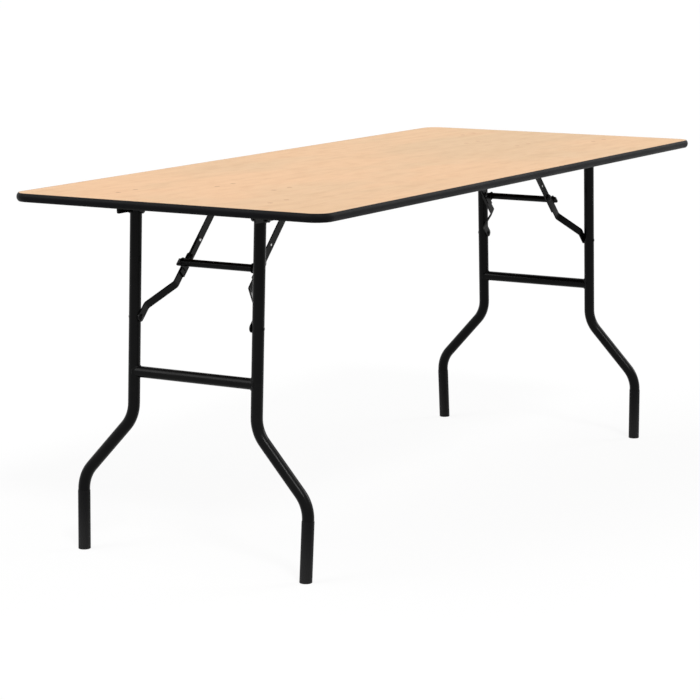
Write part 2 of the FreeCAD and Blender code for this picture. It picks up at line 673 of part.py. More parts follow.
def save_top():
    """Write the board, its edge and everything that is fixed under it."""
    save("tabletop_board", tabletop_board())
    save("edge_moulding", edge_moulding())
    bracket = leg_bracket()
    anchor = brace_bracket()
    for end in ENDS:
        for side in SIDES:
            save(f"{end}_{side}_leg_bracket", at_corner(bracket, end, side))
            save(f"{end}_{side}_brace_bracket", at_corner(anchor, end, side))
    leg_places = leg_bracket_screw_places()
    anchor_places = anchor_screw_places()
    groups = {
        "leg_bracket_screws": [screw(*place) for place in leg_places],
        "leg_bracket_nuts": [screw_nut(*place) for place in leg_places],
        "brace_bracket_screws": [screw(*place) for place in anchor_places],
        "brace_bracket_nuts": [screw_nut(*place) for place in anchor_places],
        "screw_plugs": [screw_plug(*place) for place in leg_places + anchor_places],
        "leg_pivot_bolts": [pivot_bolt()],
        "leg_pivot_nuts": [pivot_nut()],
        "leg_pivot_washers": [pivot_washer()],
        "brace_bracket_rivets": [anchor_rivet()],
    }
    for name, solids in groups.items():
        save(name, *[copy for solid in solids for copy in at_every_corner(solid)])


def save_frames():
    """Write the leg frames and the braces of both ends."""
    single = {
        "leg": leg(),
        "foot": foot(),
        "lower_strap": lower_strap(),
        "upper_strap": upper_strap(),
        "lock_plate": lock_plate(),
    }
    paired = {
        "leg_rivets": leg_rivet(),
        "lower_knuckle_rivets": lower_knuckle_rivet(),
        "upper_knuckle_rivets": upper_knuckle_rivet(),
        "lock_rivets": lock_rivet(),
    }
    spanning = {"stretcher": stretcher(), "release_bar": release_bar()}
    for end in ENDS:
        for name, solid in single.items():
            for side in SIDES:
                save(f"{end}_{side}_{name}", at_corner(solid, end, side))
        for name, solid in paired.items():
            save(f"{end}_{name}", *[at_corner(solid, end, side) for side in SIDES])
        for name, solid in spanning.items():
            save(f"{end}_{name}", at_corner(solid, end, "left"))


def print_motion():
    """Print the turns that lay the legs flat and the ratios of the braces to them."""
    upper_turn = FOLDED_DROOP - BRACE_SLOPE
    flat_leg_point = Vector(PIVOT_REACH - BRACE_LEG_DROP, 0, PIVOT_HEIGHT)
    droop = Vector(math.cos(FOLDED_DROOP), 0, -math.sin(FOLDED_DROOP))
    flat_line = BRACE_ANCHOR + droop * UPPER_LENGTH - flat_leg_point
    lower_turn = math.pi - BRACE_SLOPE + math.atan2(-flat_line.z, flat_line.x) - FOLD_TURN
    print(f"fold {math.degrees(FOLD_TURN):.4f} degrees")
    print(f"leg pivot {PIVOT_REACH:.4f} {PIVOT_HEIGHT:.4f}")
    print(f"brace on leg {BRACE_LEG_POINT.x:.4f} {BRACE_LEG_POINT.z:.4f}")
    print(f"brace anchor {BRACE_ANCHOR.x:.4f} {BRACE_ANCHOR.z:.4f}")
    print(f"upper ratio {upper_turn / FOLD_TURN:.6f}, lower ratio {lower_turn / FOLD_TURN:.6f}")
    print(f"upper strap {UPPER_LENGTH:.3f}, lower strap {LOWER_LENGTH:.3f} between centres")


os.makedirs("parts", exist_ok=True)
save_top()
save_frames()
print_motion()
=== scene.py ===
"""Looks of a folding banquet table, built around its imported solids.

The solids keep their shapes. This script gives each of them a procedural finish, adds the weld
beads, puts chamfered bolts and nuts in the place of plain ones, and sets up a white studio with a
camera at the photographed angle. Lengths are in metres in the table's own frame: +X along the
length towards the far end, +Y to the left, +Z up, with the origin on the floor under the middle
of the top.
"""

import json
import logging
import math
from collections.abc import Iterable, Mapping
from dataclasses import dataclass, field
from enum import Enum
from functools import cache
from typing import Any

import bmesh
import bpy
from mathutils import Matrix, Vector


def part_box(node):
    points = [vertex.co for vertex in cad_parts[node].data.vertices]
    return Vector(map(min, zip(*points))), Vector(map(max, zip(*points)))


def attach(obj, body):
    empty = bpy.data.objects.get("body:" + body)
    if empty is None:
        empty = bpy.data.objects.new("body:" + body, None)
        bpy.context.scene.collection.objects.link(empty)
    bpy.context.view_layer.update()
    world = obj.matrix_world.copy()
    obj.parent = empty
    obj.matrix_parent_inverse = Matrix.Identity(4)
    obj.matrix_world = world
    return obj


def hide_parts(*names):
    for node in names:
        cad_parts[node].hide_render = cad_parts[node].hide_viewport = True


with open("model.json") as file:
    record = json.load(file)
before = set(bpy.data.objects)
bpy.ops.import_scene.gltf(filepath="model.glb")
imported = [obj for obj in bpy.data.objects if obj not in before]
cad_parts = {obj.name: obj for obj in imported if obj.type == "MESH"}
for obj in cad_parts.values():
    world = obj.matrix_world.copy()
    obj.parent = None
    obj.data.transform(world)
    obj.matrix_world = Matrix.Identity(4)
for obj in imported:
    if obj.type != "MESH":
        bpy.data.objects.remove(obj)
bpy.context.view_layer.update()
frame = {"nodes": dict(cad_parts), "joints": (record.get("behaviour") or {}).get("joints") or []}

Colour = tuple[float, float, float]
Range = tuple[float, float]
Feed = float | Colour | bpy.types.NodeSocket

LOG = logging.getLogger("banquet_table")
TABLE_BODY = "table"
MERGE_REACH = 1e-6
SHARP_TURN = math.radians(35.0)
HEX_SIDES = 6
ORIGIN = Vector((0.0, 0.0, 0.0))
UP = Vector((0.0, 0.0, 1.0))
WHITE: Colour = (1.0, 1.0, 1.0)
RISING: Range = (0.0, 1.0)
FALLING: Range = (1.0, 0.0)
NOISE_BAND: Range = (0.3, 0.7)
SEEN_RAYS = ("Is Camera Ray", "Is Glossy Ray", "Is Transmission Ray")
# Colour sockets of the Mix node, by number because its other sockets share their names.
MIX_SHARE, MIX_BELOW, MIX_ABOVE = 0, 6, 7
MIX_RESULT = 2


class End(Enum):
    """End of the table, as seen in the photograph."""

    NEAR = "near"
    FAR = "far"

    @property
    def sign(self) -> float:
        """Sign of X at this end."""
        return 1.0 if self is End.FAR else -1.0


class Side(Enum):
    """Side of the table, looking from the near end."""

    LEFT = "left"
    RIGHT = "right"

    @property
    def sign(self) -> float:
        """Sign of Y on this side."""
        return 1.0 if self is Side.LEFT else -1.0

    @property
    def outwards(self) -> Vector:
        """Direction from the middle of the table to this side."""
        return Vector((0.0, self.sign, 0.0))


class Slot(Enum):
    """Material slots of the record."""

    PLYWOOD = "plywood"
    FILLER = "wood_filler"
    EDGE = "edge_vinyl"
    COAT = "black_powder_coat"
    FOOT = "foot_plastic"
    BRIGHT = "bright_steel"
    FASTENER = "black_zinc"


class Axis(Enum):
    """Axis that a finish changes along."""

    LENGTH = "X"
    HEIGHT = "Z"


class Overlay(Enum):
    """How one colour lies over another."""

    COVER = "MIX"
    TINT = "MULTIPLY"


class Sum(Enum):
    """Operation on one or two values."""

    ADD = "ADD"
    TIMES = "MULTIPLY"
    LARGER = "MAXIMUM"
    SINE = "SINE"


@dataclass(frozen=True)
class Pattern:
    """Soft noise, by its cycles per metre along X, Y and Z."""

    cycles: tuple[float, float, float]
    detail: float
    roughness: float = 0.5
    distortion: float = 0.0


@dataclass(frozen=True)
class Layer:
    """A tint that sets in as a value rises through a range, up to a share of its strength."""

    tint: Colour
    band: Range
    share: float = 1.0


@dataclass(frozen=True)
class Relief:
    """How far a pattern stands out, in metres, and the share of that which shows."""

    depth: float
    strength: float


class Wiring:
    """The node tree of one material, with short calls that add and join its nodes."""

    def __init__(self, name: str) -> None:
        """Start a material with a Principled shader and object coordinates.

        Args:
            name: Name of the material.
        """
        self.material = bpy.data.materials.new(name)
        self.material.use_nodes = True
        self.tree = self.material.node_tree
        self.shader = self.tree.nodes["Principled BSDF"]
        self.place = self.add("ShaderNodeTexCoord").outputs["Object"]

    def add(self, kind: str, inputs: Mapping[Any, Feed] | None = None,
            **settings: Any) -> bpy.types.Node:
        """Add a node.

        Args:
            kind: Blender's name for the type of node.
            inputs: Sockets, by name or number, with what each is set to or joined to.
            **settings: Other properties of the node.

        Returns:
            The new node.
        """
        node = self.tree.nodes.new(kind)
        for key, value in settings.items():
            setattr(node, key, value)
        for key, value in (inputs or {}).items():
            self.feed(node.inputs[key], value)
        return node

    def feed(self, socket: bpy.types.NodeSocket, value: Feed) -> None:
        """Set a socket to a constant or join it to another socket.

        Args:
            socket: The input to fill.
            value: A constant, a colour of three numbers or the output of another node.
        """
        if isinstance(value, bpy.types.NodeSocket):
            self.tree.links.new(value, socket)
        elif socket.type == "RGBA":
            socket.default_value = (*value, 1.0)
        else:
            socket.default_value = value

    def dress(self, **inputs: Feed) -> None:
        """Fill the shader's own sockets, with underscores for the spaces in their names."""
        for key, value in inputs.items():
            self.feed(self.shader.inputs[key.replace("_", " ")], value)

    def noise(self, pattern: Pattern) -> bpy.types.NodeSocket:
        """Lay a noise pattern on the surface.

        Args:
            pattern: Size and character of the noise.

        Returns:
            A value from 0 to 1 around a half.
        """
        scaled = self.add("ShaderNodeMapping", {"Vector": self.place, "Scale": pattern.cycles})
        inputs = {
            "Vector": scaled.outputs["Vector"],
            "Scale": 1.0,
            "Detail": pattern.detail,
            "Roughness": pattern.roughness,
            "Distortion": pattern.distortion,
        }
        return self.add("ShaderNodeTexNoise", inputs).outputs["Fac"]

    def along(self, axis: Axis) -> bpy.types.NodeSocket:
        """Distance from the origin along one axis."""
        return self.add("ShaderNodeSeparateXYZ", {"Vector": self.place}).outputs[axis.value]

    def remap(self, value: bpy.types.NodeSocket, source: Range,
              target: Range = RISING) -> bpy.types.NodeSocket:
        """Map one range of a value smoothly onto another, held at both ends.

        Args:
            value: The value to map.
            source: The range that is read.
            target: The range that comes out.

        Returns:
            The mapped value.
        """
        inputs = {
            "Value": value,
            "From Min": source[0],
            "From Max": source[1],
            "To Min": target[0],
            "To Max": target[1],
        }
        node = self.add("ShaderNodeMapRange", inputs, interpolation_type="SMOOTHSTEP")
        return node.outputs["Result"]

    def sums(self, operation: Sum, first: Feed, second: Feed = 0.0) -> bpy.types.NodeSocket:
        """Value of an operation on one or two values."""
        node = self.add("ShaderNodeMath", {0: first, 1: second}, operation=operation.value)
        return node.outputs["Value"]

    def blend(self, share: Feed, first: Feed, second: Feed,
              how: Overlay = Overlay.COVER) -> bpy.types.NodeSocket:
        """Lay one colour over another.

        Args:
            share: Weight of the second colour, from 0 to 1.
            first: The colour below.
            second: The colour laid over it.
            how: Whether it covers or tints the colour below.

        Returns:
            The mixed colour.
        """
        inputs = {MIX_SHARE: share, MIX_BELOW: first, MIX_ABOVE: second}
        node = self.add("ShaderNodeMix", inputs, data_type="RGBA", blend_type=how.value,
                        clamp_result=True)
        return node.outputs[MIX_RESULT]

    def tinted(self, colour: Feed, value: bpy.types.NodeSocket,
               layer: Layer) -> bpy.types.NodeSocket:
        """Lay a tint over a colour where a value is in the tint's range.

        Args:
            colour: The colour below.
            value: The value that the tint follows.
            layer: The tint, its range and its share.

        Returns:
            The tinted colour.
        """
        share = self.remap(value, layer.band, (0.0, layer.share))
        return self.blend(share, colour, layer.tint, Overlay.TINT)

    def emboss(self, height: bpy.types.NodeSocket, relief: Relief) -> None:
        """Raise the surface by a pattern.

        Args:
            height: Pattern from 0 to 1.
            relief: How far it stands out.
        """
        inputs = {"Height": height, "Distance": relief.depth, "Strength": relief.strength}
        self.dress(Normal=self.add("ShaderNodeBump", inputs).outputs["Normal"])


@dataclass(frozen=True)
class Finish:
    """A surface finish."""

    name: str

    def make(self) -> bpy.types.Material:
        """Build the material."""
        raise NotImplementedError


@dataclass(frozen=True)
class Plywood(Finish):
    """Rotary-cut veneer, lacquered on the face and bare on the back."""

    pale: Colour = (0.922, 0.612, 0.388)
    back_tint: Colour = (0.86, 0.80, 0.72)
    clouds: Pattern = Pattern((1.8, 3.4, 3.4), detail=3.0)
    flecks: Pattern = Pattern((16.0, 34.0, 34.0), detail=3.0, roughness=0.6)
    streaks: Pattern = Pattern((1.4, 38.0, 38.0), detail=4.0, roughness=0.6)
    figure: Pattern = Pattern((0.8, 5.0, 5.0), detail=2.0, distortion=0.4)
    fibres: Pattern = Pattern((9.0, 620.0, 620.0), detail=3.0, roughness=0.7)
    ring_rate: float = 70.0
    # Painted shade: the top is tinted dimmer and greyer towards the far end, standing in for light
    # falling off along the table.
    far_shade_layer: Layer = Layer((0.955, 0.985, 0.995), (-1.0, 0.9))
    cloud_layer: Layer = Layer((0.935, 0.975, 0.990), (0.36, 0.62))
    fleck_layer: Layer = Layer((0.955, 0.930, 0.910), (0.42, 0.72))
    streak_layer: Layer = Layer((0.965, 0.950, 0.925), (0.36, 0.66), share=0.65)
    ring_layer: Layer = Layer((0.900, 0.860, 0.820), (0.2, 1.0), share=0.18)
    fibre_layer: Layer = Layer((0.900, 0.860, 0.820), (0.45, 0.80), share=0.70)
    face_level: Range = (0.756, 0.764)
    fibre_wear: float = 0.4
    dullness: Range = (0.85, 0.62)
    specular: float = 0.05
    relief: Relief = Relief(depth=0.0004, strength=0.12)

    def make(self) -> bpy.types.Material:
        """Build the material.

        Returns:
            Plywood whose grain runs along the length of the top.
        """
        wiring = Wiring(self.name)
        turn = wiring.sums(Sum.TIMES, wiring.noise(self.figure), self.ring_rate)
        fibres = wiring.noise(self.fibres)
        layers = (
            # Painted shade along the length, darker towards the far end.
            (wiring.along(Axis.LENGTH), self.far_shade_layer),
            (wiring.noise(self.clouds), self.cloud_layer),
            (wiring.noise(self.flecks), self.fleck_layer),
            (wiring.noise(self.streaks), self.streak_layer),
            (wiring.sums(Sum.SINE, turn), self.ring_layer),
            (fibres, self.fibre_layer),
        )
        tone: Feed = self.pale
        for value, layer in layers:
            tone = wiring.tinted(tone, value, layer)
        back = wiring.blend(1.0, tone, self.back_tint, Overlay.TINT)
        face = wiring.remap(wiring.along(Axis.HEIGHT), self.face_level)
        worn = wiring.sums(Sum.ADD, face, wiring.sums(Sum.TIMES, fibres, self.fibre_wear))
        wiring.dress(
            Base_Color=wiring.blend(face, back, tone),
            Roughness=wiring.remap(worn, (0.0, 1.0 + self.fibre_wear), self.dullness),
            Specular_IOR_Level=self.specular,
        )
        wiring.emboss(fibres, self.relief)
        return wiring.material


@dataclass(frozen=True)
class Filler(Finish):
    """Wood filler, rubbed flush and lacquered over."""

    pale: Colour = (0.690, 0.385, 0.210)
    dark: Colour = (0.560, 0.300, 0.155)
    specks: Pattern = Pattern((420.0, 420.0, 420.0), detail=4.0, roughness=0.7)
    dullness: Range = (0.45, 0.60)
    specular: float = 0.12
    relief: Relief = Relief(depth=0.0003, strength=0.2)

    def make(self) -> bpy.types.Material:
        """Build the material.

        Returns:
            Speckled filler.
        """
        wiring = Wiring(self.name)
        specks = wiring.noise(self.specks)
        wiring.dress(
            Base_Color=wiring.blend(wiring.remap(specks, NOISE_BAND), self.pale, self.dark),
            Roughness=wiring.remap(specks, NOISE_BAND, self.dullness),
            Specular_IOR_Level=self.specular,
        )
        wiring.emboss(specks, self.relief)
        return wiring.material


@dataclass(frozen=True)
class Vinyl(Finish):
    """Extruded edging with a soft sheen and fine draw lines."""

    colour: Colour = (0.0070, 0.0073, 0.0085)
    rubbed: Colour = (0.0120, 0.0124, 0.0138)
    clouds: Pattern = Pattern((7.0, 7.0, 30.0), detail=4.0, roughness=0.6)
    lines: Pattern = Pattern((14.0, 14.0, 1500.0), detail=2.0)
    pebbles: Pattern = Pattern((900.0, 900.0, 900.0), detail=2.0)
    rub_band: Range = (0.48, 0.78)
    dullness: Range = (0.36, 0.50)
    specular: float = 0.05
    relief: Relief = Relief(depth=0.0002, strength=0.12)

    def make(self) -> bpy.types.Material:
        """Build the material.

        Returns:
            Black vinyl.
        """
        wiring = Wiring(self.name)
        clouds = wiring.noise(self.clouds)
        wiring.dress(
            Base_Color=wiring.blend(wiring.remap(clouds, self.rub_band), self.colour, self.rubbed),
            Roughness=wiring.remap(clouds, NOISE_BAND, self.dullness),
            Specular_IOR_Level=self.specular,
        )
        height = wiring.sums(Sum.ADD, wiring.noise(self.lines), wiring.noise(self.pebbles))
        wiring.emboss(height, self.relief)
        return wiring.material


@dataclass(frozen=True)
class PowderCoat(Finish):
    """Semi-gloss black powder coat with a fine orange peel."""

    colour: Colour = (0.0045, 0.0045, 0.0048)
    # Real dust on the powder coat, laid in random patches by the clouds below.
    dust_and_bounce_tone: Colour = (0.0085, 0.0084, 0.0082)
    peel: Pattern = Pattern((520.0, 520.0, 520.0), detail=2.0)
    clouds: Pattern = Pattern((16.0, 16.0, 16.0), detail=4.0, roughness=0.6)
    dust_band: Range = (0.45, 0.80)
    dullness: Range = (0.20, 0.30)
    specular: float = 0.08
    relief: Relief = Relief(depth=0.00025, strength=0.10)

    def make(self) -> bpy.types.Material:
        """Build the material.

        Returns:
            Black paint that is a little duller where it gathers dust.
        """
        wiring = Wiring(self.name)
        clouds = wiring.noise(self.clouds)
        wiring.dress(
            Base_Color=wiring.blend(wiring.remap(clouds, self.dust_band), self.colour, self.dust_and_bounce_tone),
            Roughness=wiring.remap(clouds, NOISE_BAND, self.dullness),
            Specular_IOR_Level=self.specular,
        )
        wiring.emboss(wiring.noise(self.peel), self.relief)
        return wiring.material


@dataclass(frozen=True)
class FootPlastic(Finish):
    """Matt moulded plastic, lighter towards the floor with painted bounce light from the floor,
    and scuffed grey where it stands.
    """

    colour: Colour = (0.0050, 0.0050, 0.0055)
    # Painted bounce light: the tone that the plastic takes near the floor.
    dust_and_bounce_tone: Colour = (0.0270, 0.0270, 0.0275)
    scuffed: Colour = (0.060, 0.058, 0.055)
    grain: Pattern = Pattern((1400.0, 1400.0, 1400.0), detail=2.0)
    scrapes: Pattern = Pattern((160.0, 420.0, 160.0), detail=5.0, roughness=0.7)
    bounce_light_level: Range = (0.0, 0.125)
    scuff_level: Range = (0.0004, 0.0030)
    scrape_band: Range = (0.42, 0.62)
    dullness: Range = (0.48, 0.66)
    specular: float = 0.10
    relief: Relief = Relief(depth=0.0002, strength=0.15)

    def make(self) -> bpy.types.Material:
        """Build the material.

        Returns:
            Black plastic.
        """
        wiring = Wiring(self.name)
        scrapes = wiring.noise(self.scrapes)
        height = wiring.along(Axis.HEIGHT)
        # Painted bounce light: the plastic is made lighter towards the floor, standing in for
        # light thrown up from the floor.
        painted_bounce = wiring.remap(height, self.bounce_light_level, FALLING)
        low = wiring.remap(height, self.scuff_level, FALLING)
        worn = wiring.sums(Sum.TIMES, low, wiring.remap(scrapes, self.scrape_band))
        tone = wiring.blend(painted_bounce, self.colour, self.dust_and_bounce_tone)
        wiring.dress(
            Base_Color=wiring.blend(worn, tone, self.scuffed),
            Roughness=wiring.remap(scrapes, NOISE_BAND, self.dullness),
            Specular_IOR_Level=self.specular,
        )
        wiring.emboss(wiring.noise(self.grain), self.relief)
        return wiring.material


@dataclass(frozen=True)
class PlatedSteel(Finish):
    """Plated steel with fine rubbing marks."""

    colour: Colour
    dulled: Colour
    dullness: Range
    clouds: Pattern = Pattern((240.0, 240.0, 240.0), detail=4.0, roughness=0.6)
    marks: Pattern = Pattern((300.0, 2600.0, 300.0), detail=3.0)
    cloud_band: Range = (0.35, 0.70)
    relief: Relief = Relief(depth=0.0001, strength=0.2)

    def make(self) -> bpy.types.Material:
        """Build the material.

        Returns:
            Plated metal.
        """
        wiring = Wiring(self.name)
        clouds = wiring.noise(self.clouds)
        worn = wiring.remap(clouds, self.cloud_band)
        wiring.dress(
            Base_Color=wiring.blend(worn, self.colour, self.dulled),
            Roughness=wiring.remap(clouds, NOISE_BAND, self.dullness),
            Metallic=1.0,
        )
        wiring.emboss(wiring.noise(self.marks), self.relief)
        return wiring.material


FINISHES: Mapping[Slot, Finish] = {
    Slot.PLYWOOD: Plywood("birch_plywood"),
    Slot.FILLER: Filler("rubbed_wood_filler"),
    Slot.EDGE: Vinyl("black_vinyl_edging"),
    Slot.COAT: PowderCoat("semi_gloss_powder_coat"),
    Slot.FOOT: FootPlastic("black_foot_plastic"),
    Slot.BRIGHT: PlatedSteel(
        "dull_nickel",
        colour=(0.70, 0.70, 0.69),
        dulled=(0.46, 0.46, 0.45),
        dullness=(0.28, 0.42),
    ),
    Slot.FASTENER: PlatedSteel(
        "black_zinc_plate",
        colour=(0.020, 0.020, 0.021),
        dulled=(0.034, 0.034, 0.033),
        dullness=(0.30, 0.46),
    ),
}


@cache
def material_of(slot: Slot) -> bpy.types.Material:
    """Material of a slot, made at the first call and shared after it."""
    return FINISHES[slot].make()


def dress_node(node: str, slot: Slot) -> None:
    """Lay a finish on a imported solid.

    Args:
        node: Name of the solid's node.
        slot: Slot whose finish it takes.
    """
    materials = frame["nodes"][node].data.materials
    material = material_of(slot)
    for place in range(len(materials)):
        materials[place] = material
    if not materials:
        materials.append(material)
    LOG.info("dressed %s with %s", node, material.name)


def make_piece(shape: bmesh.types.BMesh, name: str, body: str, slot: Slot) -> bpy.types.Object:
    """Turn a finished shape into a piece that rides on a body.

    Args:
        shape: The shape, in the table's frame. It is freed.
        name: Name of the piece.
        body: Body that carries it.
        slot: Slot whose finish it takes.

    Returns:
        The new piece.
    """
    bmesh.ops.remove_doubles(shape, verts=shape.verts, dist=MERGE_REACH)
    bmesh.ops.recalc_face_normals(shape, faces=shape.faces)
    mesh = bpy.data.meshes.new(name)
    shape.to_mesh(mesh)
    shape.free()
    mesh.shade_smooth()
    mesh.set_sharp_from_angle(angle=SHARP_TURN)
    mesh.materials.append(material_of(slot))
    piece = bpy.data.objects.new(name, mesh)
    bpy.context.scene.collection.objects.link(piece)
    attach(piece, body)
    LOG.info("built %s on %s", name, body)
    return piece


def middle_of(node: str) -> Vector:
    """Middle of a solid's box."""
    low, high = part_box(node)
    return (low + high) / 2


def joint_place(name: str) -> Vector:
    """Place of a joint's axis."""
    return Vector(next(joint["pos_m"] for joint in frame["joints"] if joint["name"] == name))


def turned(profile: Iterable[tuple[float, float]], steps: int) -> bmesh.types.BMesh:
    """Shape that a profile sweeps round the Z axis.

    Args:
        profile: Radius and height of each corner. It is closed unless it starts on the axis.
        steps: Number of facets round the axis.

    Returns:
        The swept shape.
    """
    shape = bmesh.new()
    corners = [shape.verts.new((radius, 0.0, height)) for radius, height in profile]
    pairs = list(zip(corners, corners[1:]))
    if corners[0].co.x > 0.0:
        pairs.append((corners[-1], corners[0]))
    sides = [shape.edges.new(pair) for pair in pairs]
    bmesh.ops.spin(shape, geom=corners + sides, axis=UP, cent=ORIGIN, angle=math.tau, steps=steps,
                   use_merge=True)
    bmesh.ops.remove_doubles(shape, verts=shape.verts, dist=MERGE_REACH)
    return shape


def set_down(shape: bmesh.types.BMesh, place: Vector, direction: Vector) -> None:
    """Turn a shape made up the Z axis to another direction and move it to its place.

    Args:
        shape: The shape to move.
        place: Where its origin goes.
        direction: Where its Z axis points.
    """
    turn = UP.rotation_difference(direction).to_matrix()
    bmesh.ops.rotate(shape, verts=shape.verts, cent=ORIGIN, matrix=turn)
    bmesh.ops.translate(shape, verts=shape.verts, vec=place)


def gather(shapes: Iterable[bmesh.types.BMesh]) -> bmesh.types.BMesh:
    """Put several shapes into one.

    Args:
        shapes: The shapes, which are freed.

    Returns:
        One shape with all their faces.
    """
    whole = bmesh.new()
    for shape in shapes:
        mesh = bpy.data.meshes.new("gathered")
        shape.to_mesh(mesh)
        shape.free()
        whole.from_mesh(mesh)
        bpy.data.meshes.remove(mesh)
    return whole


@dataclass(frozen=True)
class WeldBead:
    """A rippled weld bead round a bar."""

    bar_radius: float
    bead_radius: float
    ripples: int
    ripple_share: float = 0.16
    steps: int = 96
    section_sides: int = 10

    def ring(self) -> bmesh.types.BMesh:
        """Bead round the Z axis, at the origin.

        Returns:
            A closed ring.
        """
        turns = [math.tau * step / self.section_sides for step in range(self.section_sides)]
        section = [(self.bar_radius + self.bead_radius * math.cos(turn),
                    self.bead_radius * math.sin(turn)) for turn in turns]
        shape = turned(section, self.steps)
        for vertex in shape.verts:
            self.ripple(vertex)
        return shape

    def ripple(self, vertex: bmesh.types.BMVert) -> None:
        """Swell the bead in even steps round the bar.

        Args:
            vertex: Vertex of the ring to move.
        """
        turn = math.atan2(vertex.co.y, vertex.co.x)
        core = Vector((math.cos(turn), math.sin(turn), 0.0)) * self.bar_radius
        swell = 1.0 + self.ripple_share * abs(math.sin(turn * self.ripples / 2))
        vertex.co = core + (vertex.co - core) * swell


@dataclass(frozen=True)
class HexForm:
    """Six flats whose corners are chamfered to a cone."""

    flats: float
    height: float
    face_share: float = 0.94
    chamfer: float = math.radians(30.0)
    thread_share: float = 0.6
    steps: int = 60

    @property
    def face_radius(self) -> float:
        """Radius of the round face inside the chamfer."""
        return self.face_share * self.flats / 2

    @property
    def corner_radius(self) -> float:
        """Radius over the corners."""
        return self.flats / 2 / math.cos(math.pi / HEX_SIDES)

    def press(self, shape: bmesh.types.BMesh, both_faces: bool) -> None:
        """Press the round wall of a turned shape into chamfered flats.

        Args:
            shape: Shape that stands on its lower face, on the Z axis.
            both_faces: Whether the lower face is chamfered too.
        """
        sector = math.tau / HEX_SIDES
        for vertex in shape.verts:
            reach = vertex.co.xy.length
            if reach < (self.face_radius + self.flats / 2) / 2:
                continue
            turn = math.atan2(vertex.co.y, vertex.co.x)
            wall = self.flats / 2 / math.cos((turn + sector / 2) % sector - sector / 2)
            slack = (wall - self.face_radius) * math.tan(self.chamfer)
            lowest = slack if both_faces else 0.0
            vertex.co.xy *= wall / reach
            vertex.co.z = min(max(vertex.co.z, lowest), self.height - slack)

    def nut(self, bore: float) -> bmesh.types.BMesh:
        """Nut that stands on its lower face.

        Args:
            bore: Radius of its hole.

        Returns:
            The nut.
        """
        wall = [(self.face_radius, 0.0), (self.corner_radius, 0.0)]
        roof = [(self.corner_radius, self.height), (self.face_radius, self.height)]
        shape = turned([(bore, 0.0), *wall, *roof, (bore, self.height)], self.steps)
        self.press(shape, both_faces=True)
        return shape

    def bolt(self, shank: float, length: float, pitch: float, turns: int) -> bmesh.types.BMesh:
        """Bolt whose head stands on the origin, with the shank below it.

        Args:
            shank: Radius of the shank.
            length: Length of the shank.
            pitch: Height of one ridge of the thread.
            turns: Number of ridges, counted from the tip.

        Returns:
            The bolt.
        """
        root = shank - self.thread_share * pitch
        ridges = []
        for ridge in reversed(range(turns)):
            low = (ridge + 0.5) * pitch - length
            ridges += [(root, low + pitch), (shank, low + pitch / 2)]
        head = [(radius, self.height) for radius in (0.0, self.face_radius, self.corner_radius)]
        neck = [(self.corner_radius, 0.0), (shank, 0.0), (shank, ridges[0][1] + pitch / 2)]
        shape = turned([*head, *neck, *ridges, (root, -length), (0.0, -length)], self.steps)
        self.press(shape, both_faces=False)
        return shape


@dataclass
class Tabletop:
    """The board, its edging and the plugs over the bracket screws."""

    nodes: Mapping[str, Slot] = field(default_factory=lambda: {
        "tabletop_board": Slot.PLYWOOD,
        "screw_plugs": Slot.FILLER,
        "edge_moulding": Slot.EDGE,
    })

    def build(self) -> None:
        """Dress the board, the plugs and the edging."""
        for node, slot in self.nodes.items():
            dress_node(node, slot)


@dataclass
class LegFrame:
    """Two bent legs of one end with their feet, stretcher and rivets."""

    end: End
    leg_side: float = 0.1524
    tube_radius: float = 0.0127
    bead_radius: float = 0.0020
    bead_ripples: int = 34
    deepest_share: float = 0.97

    def build(self) -> None:
        """Dress the solids of the frame and weld the stretcher to the legs."""
        end = self.end.value
        for side in Side:
            dress_node(f"{end}_{side.value}_leg", Slot.COAT)
            dress_node(f"{end}_{side.value}_foot", Slot.FOOT)
            self.weld(side)
        dress_node(f"{end}_stretcher", Slot.COAT)
        dress_node(f"{end}_leg_rivets", Slot.COAT)

    def across(self) -> Vector:
        """Direction across the leg tubes, in the plane in which they fold."""
        pivot = joint_place(f"{self.end.value}_leg_fold")
        run = middle_of(f"{self.end.value}_left_foot") - pivot
        return Vector((-run.z, 0.0, run.x)).normalized()

    def weld(self, side: Side) -> None:
        """Lay the weld bead where the stretcher meets one leg.

        Args:
            side: Side of the leg.
        """
        end = self.end.value
        low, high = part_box(f"{end}_stretcher")
        centre = (low + high) / 2
        bead = WeldBead((high.z - low.z) / 2, self.bead_radius, self.bead_ripples)
        shape = bead.ring()
        set_down(shape, Vector((centre.x, 0.0, centre.z)), side.outwards)
        across = self.across()
        for vertex in shape.verts:
            reach = abs((vertex.co - centre).dot(across))
            reach = min(reach, self.deepest_share * self.tube_radius)
            inset = math.sqrt(self.tube_radius**2 - reach**2)
            vertex.co.y += side.sign * (self.leg_side - inset)
        make_piece(shape, f"{end}_{side.value}_stretcher_weld", f"{end}_leg_frame", Slot.COAT)


